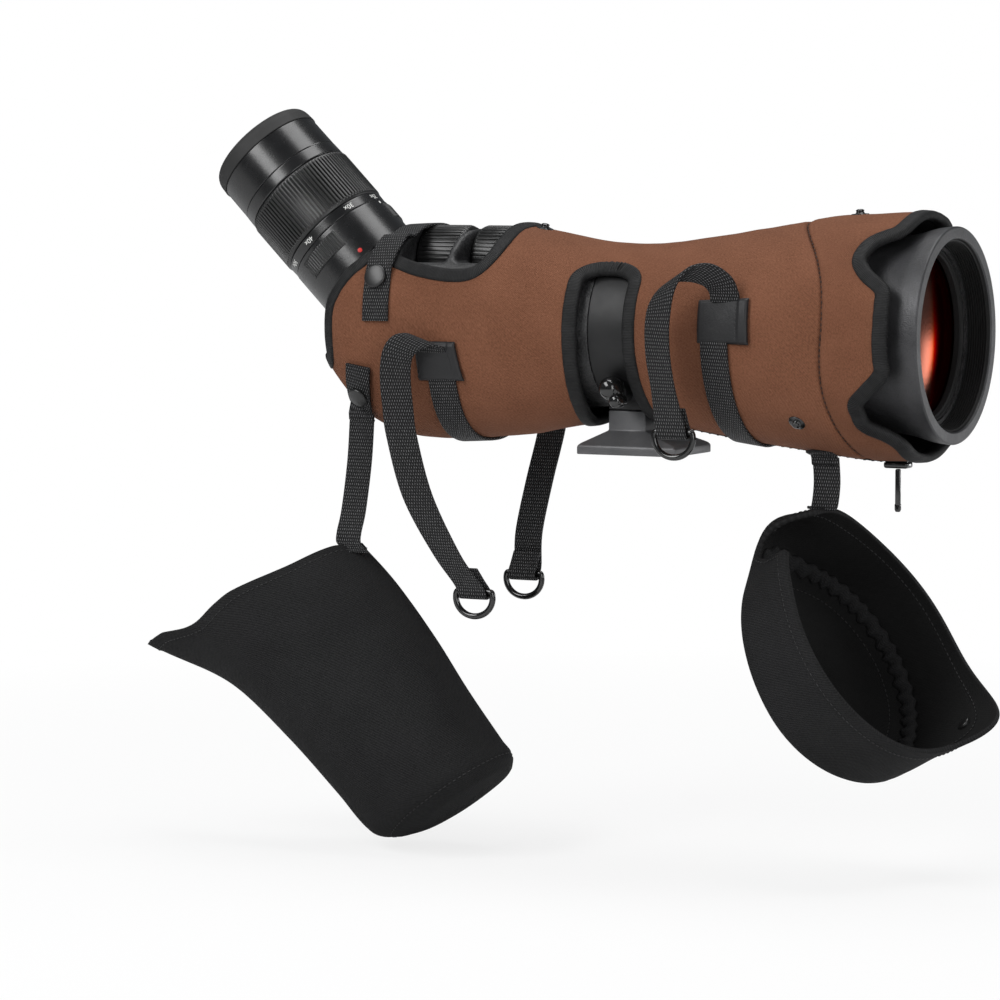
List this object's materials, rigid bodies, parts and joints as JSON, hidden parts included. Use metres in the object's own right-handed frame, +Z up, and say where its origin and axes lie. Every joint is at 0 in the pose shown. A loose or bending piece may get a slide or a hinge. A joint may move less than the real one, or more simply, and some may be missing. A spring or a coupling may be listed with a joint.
{
  "type": "spotting scope",
  "caption": "Angled spotting scope with a zoom eyepiece, focus drums, turning tripod collar and sunshade, in a fitted neoprene cover with carrying straps and hanging end hoods.",
  "frame": {"origin": "middle of the tripod foot's base", "axes": "+X along the optical axis towards the objective, +Z up, +Y to the left when looking along +X"},
  "size_m": [0.4361, 0.1339, 0.3569],
  "materials": {
    "armour": "rubber-armoured body shell, matt black",
    "black_alloy": "black anodised, satin",
    "satin_alloy": "dark grey anodised, satin",
    "foot_grey": "grey painted, matt",
    "rubber": "ribbed black rubber",
    "steel": "bright machined steel",
    "brass": "turned brass",
    "glass": "coated optical glass",
    "neoprene": "brown woven-faced neoprene",
    "black_cloth": "black woven cloth",
    "webbing": "black nylon webbing",
    "leather": "black leather patch",
    "lacquer": "gloss black lacquer"
  },
  "bodies": {
    "scope": {"prism_housing": "armour", "rear_barrel": "armour", "front_barrel": "armour", "bayonet_ring": "steel", "roof_prism": "glass", "prism_cage": "satin_alloy", "focus_rod": "steel", "objective_front_lens": "glass", "objective_rear_lens": "glass", "lens_retaining_ring": "black_alloy", "eyepiece_base": "black_alloy", "eyepiece_grip": "rubber", "field_lens": "glass", "eye_lens": "glass", "eyepiece_collar": "black_alloy", "jacket_rear": "neoprene", "jacket_front": "neoprene", "top_binding": "black_cloth", "window_binding": "black_cloth", "front_binding": "black_cloth", "zip_slider": "lacquer", "neck_strap": "webbing", "hood_tab": "webbing", "rear_band": "webbing", "front_band": "webbing", "rear_tab_near": "leather", "rear_tab_far": "leather", "front_tab_near": "leather", "front_tab_far": "leather", "strap_rear_near": "webbing", "strap_rear_far": "webbing", "strap_front_near": "webbing", "strap_front_far": "webbing"},
    "sunshade": {"sunshade": "satin_alloy"},
    "collar": {"tripod_collar": "black_alloy", "tripod_foot": "foot_grey", "foot_screw": "steel", "thread_bush": "brass"},
    "lock_knob": {"lock_knob": "lacquer"},
    "coarse_focus": {"coarse_drum": "rubber", "focus_spindle": "steel"},
    "fine_focus": {"fine_drum": "rubber"},
    "focus_carriage": {"focus_cell": "satin_alloy", "focus_lens": "glass"},
    "zoom_ring": {"zoom_ring": "black_alloy", "zoom_grip": "rubber"},
    "zoom_carriage": {"zoom_cell": "satin_alloy", "zoom_lens": "glass"},
    "eyecup_cam": {"eyecup_cam": "satin_alloy"},
    "eyecup": {"eyecup_sleeve": "black_alloy", "eyecup_rubber": "rubber"},
    "zip_pull": {"zip_pull": "lacquer"},
    "d_ring_rear_near": {"d_ring_rear_near": "lacquer"},
    "d_ring_rear_far": {"d_ring_rear_far": "lacquer"},
    "d_ring_front_near": {"d_ring_front_near": "lacquer"},
    "d_ring_front_far": {"d_ring_front_far": "lacquer"},
    "eyepiece_hood": {"eyepiece_hood": "black_cloth", "eyepiece_hood_strap": "webbing"},
    "objective_hood": {"objective_hood": "black_cloth", "objective_hood_strap": "webbing"}
  },
  "joints": [
    {"name": "sunshade_slide", "type": "slide", "parent": "scope", "child": "sunshade", "axis": [1, 0, 0], "range_m": [0, 0.035]},
    {"name": "collar_turn", "type": "hinge", "parent": "scope", "child": "collar", "pos_m": [0, 0, 0.06], "axis": [1, 0, 0], "range_deg": [-60, 90]},
    {"name": "lock_turn", "type": "hinge", "parent": "collar", "child": "lock_knob", "pos_m": [-0.0005, -0.0385, 0.031], "axis": [0, -1, 0], "range_deg": [0, 270]},
    {"name": "coarse_focus_turn", "type": "hinge", "parent": "scope", "child": "coarse_focus", "pos_m": [-0.104, 0, 0.092], "axis": [1, 0, 0], "range_deg": [-270, 270]},
    {"name": "fine_focus_turn", "type": "hinge", "parent": "scope", "child": "fine_focus", "pos_m": [-0.077, 0, 0.092], "axis": [1, 0, 0], "range_deg": [-1080, 1080]},
    {"name": "focus_travel", "type": "slide", "parent": "scope", "child": "focus_carriage", "axis": [1, 0, 0], "range_m": [-0.007, 0.007]},
    {"name": "zoom_turn", "type": "hinge", "parent": "scope", "child": "zoom_ring", "pos_m": [-0.17763, 0, 0.11233], "axis": [-0.7071, 0, 0.7071], "range_deg": [0, 110]},
    {"name": "zoom_travel", "type": "slide", "parent": "scope", "child": "zoom_carriage", "axis": [-0.7071, 0, 0.7071], "range_m": [0, 0.009]},
    {"name": "eyecup_turn", "type": "hinge", "parent": "scope", "child": "eyecup_cam", "pos_m": [-0.19955, 0, 0.13425], "axis": [-0.7071, 0, 0.7071], "range_deg": [0, 95]},
    {"name": "eyecup_rise", "type": "slide", "parent": "eyecup_cam", "child": "eyecup", "axis": [-0.7071, 0, 0.7071], "range_m": [0, 0.009]},
    {"name": "zip_pull_swing", "type": "hinge", "parent": "scope", "child": "zip_pull", "pos_m": [0.132, 0, -0.00449], "axis": [0, 1, 0], "range_deg": [-60, 60]},
    {"name": "d_ring_rear_near_swing", "type": "hinge", "parent": "scope", "child": "d_ring_rear_near", "pos_m": [-0.0675, -0.048, -0.066], "axis": [1, 0, 0], "range_deg": [-60, 60]},
    {"name": "d_ring_rear_far_swing", "type": "hinge", "parent": "scope", "child": "d_ring_rear_far", "pos_m": [-0.088, 0.046, -0.066], "axis": [1, 0, 0], "range_deg": [-60, 60]},
    {"name": "d_ring_front_near_swing", "type": "hinge", "parent": "scope", "child": "d_ring_front_near", "pos_m": [0.043, -0.059, 0.015], "axis": [1, 0, 0], "range_deg": [-60, 60]},
    {"name": "d_ring_front_far_swing", "type": "hinge", "parent": "scope", "child": "d_ring_front_far", "pos_m": [0.043, 0.059, 0.015], "axis": [1, 0, 0], "range_deg": [-60, 60]},
    {"name": "eyepiece_hood_swing", "type": "hinge", "parent": "scope", "child": "eyepiece_hood", "pos_m": [-0.138, -0.03108, 0.016], "axis": [1, 0, 0], "range_deg": [-25, 25]},
    {"name": "objective_hood_swing", "type": "hinge", "parent": "scope", "child": "objective_hood", "pos_m": [0.099, -0.009, 0.0006], "axis": [1, 0, 0], "range_deg": [-25, 25]}
  ],
  "couplings": [
    {"joint": "fine_focus_turn", "follows": "coarse_focus_turn", "ratio": 4},
    {"joint": "focus_travel", "follows": "coarse_focus_turn", "m_per_rad": 0.00145},
    {"joint": "zoom_travel", "follows": "zoom_turn", "m_per_rad": 0.0045},
    {"joint": "eyecup_rise", "follows": "eyecup_turn", "m_per_rad": 0.0053}
  ]
}
